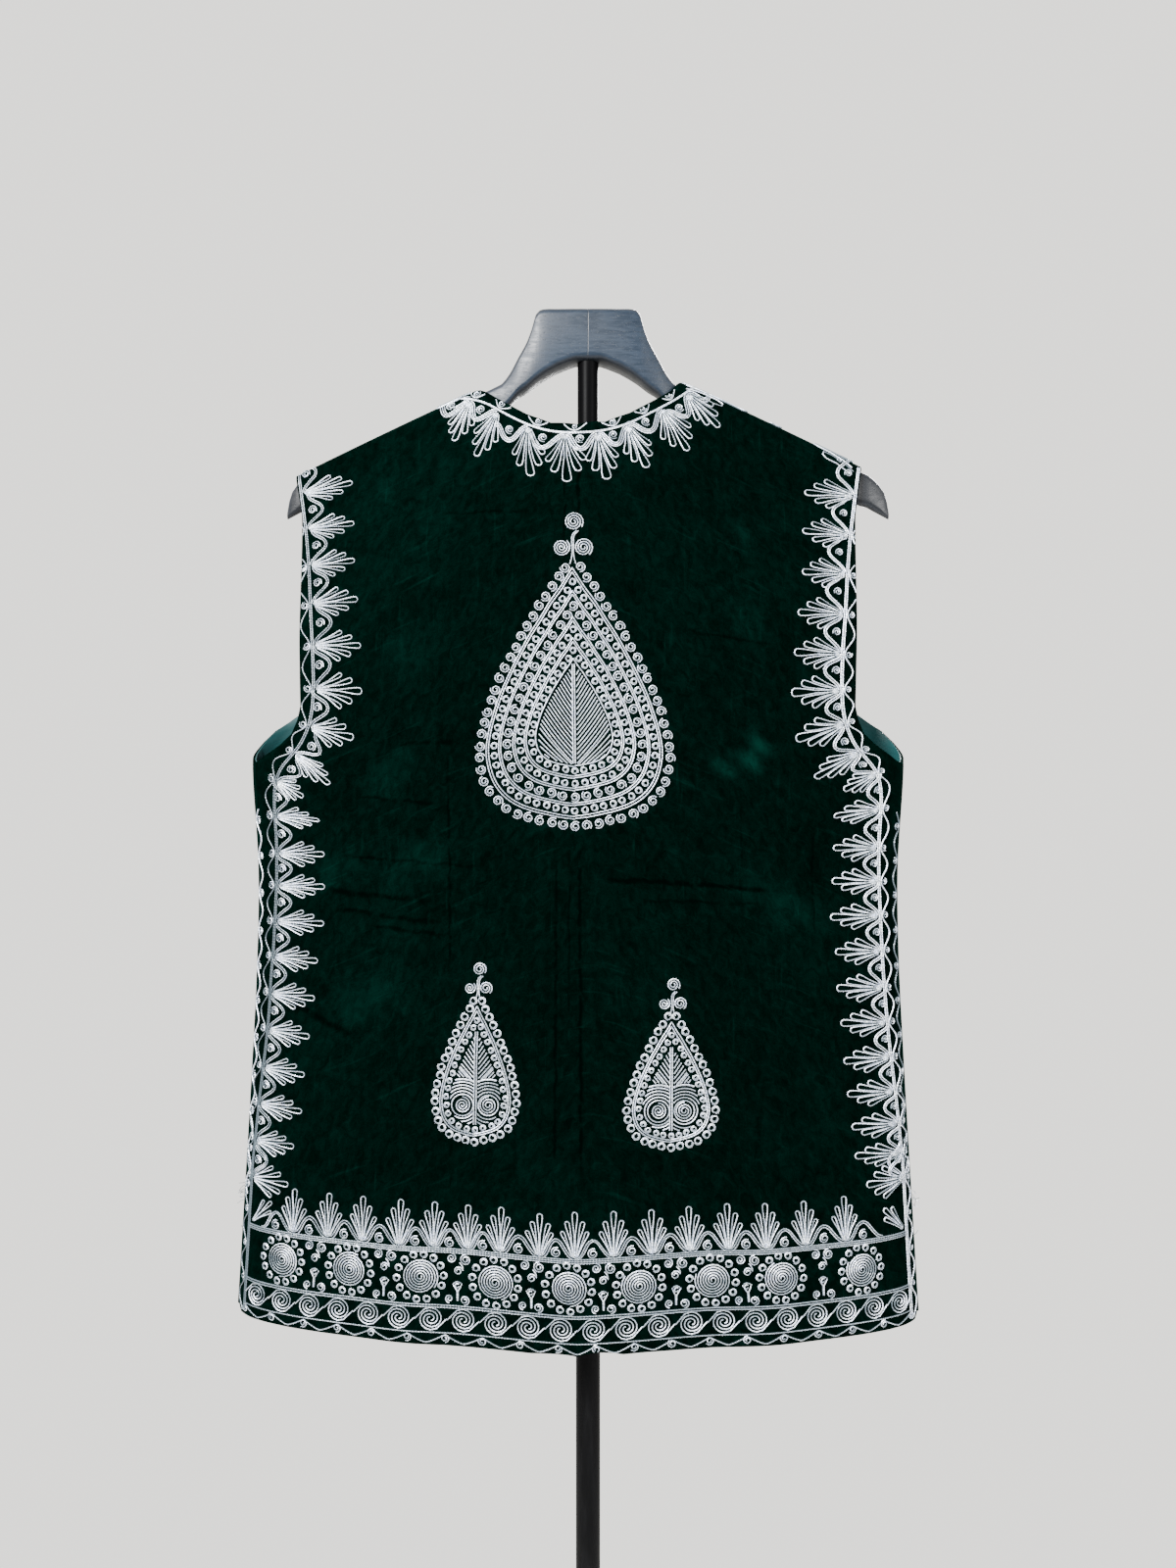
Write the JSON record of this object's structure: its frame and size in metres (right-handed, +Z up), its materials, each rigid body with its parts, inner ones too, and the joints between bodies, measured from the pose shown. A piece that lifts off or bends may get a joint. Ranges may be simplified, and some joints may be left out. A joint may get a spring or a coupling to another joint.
{
  "type": "embroidered waistcoat on a telescoping hanger stand",
  "caption": "Sleeveless velvet waistcoat with couched metal-cord embroidery, hanging on a flat wooden hanger head that tops a telescoping pole with a round floor base.",
  "frame": {"origin": "middle of the base's underside, on the pole's axis", "axes": "+Z up along the pole; the waistcoat's back faces -Y and its fronts face +Y; its left side is at -X"},
  "size_m": [0.5182, 0.3, 1.55],
  "materials": {
    "velvet": "dark green cotton velvet with a short crushed pile",
    "lining": "dark teal satin",
    "silver_cord": "couched silver-white metallic cord",
    "black_stained_wood": "black-stained wood, satin",
    "satin_black_steel": "satin black paint",
    "gloss_black_steel": "gloss black paint",
    "black_plastic": "matt black"
  },
  "bodies": {
    "stand": {"base": "satin_black_steel", "lower_tube": "satin_black_steel", "height_collar": "black_plastic"},
    "head": {"upper_tube": "gloss_black_steel", "hanger": "black_stained_wood", "back_panel": "velvet", "left_front_panel": "velvet", "right_front_panel": "velvet", "back_lining": "lining", "left_front_lining": "lining", "right_front_lining": "lining", "border_back_neck": "silver_cord", "border_back_left_side": "silver_cord", "border_back_right_side": "silver_cord", "border_front_left_side": "silver_cord", "border_front_right_side": "silver_cord", "border_front_left_edge": "silver_cord", "border_front_right_edge": "silver_cord", "hem_band_back": "silver_cord", "hem_band_front_left": "silver_cord", "hem_band_front_right": "silver_cord", "medallion_back_large": "silver_cord", "medallion_back_left": "silver_cord", "medallion_back_right": "silver_cord", "medallion_front_left": "silver_cord", "medallion_front_right": "silver_cord"}
  },
  "joints": [
    {"name": "height_slide", "type": "slide", "parent": "stand", "child": "head", "axis": [0, 0, 1], "range_m": [-0.25, 0.12]}
  ]
}
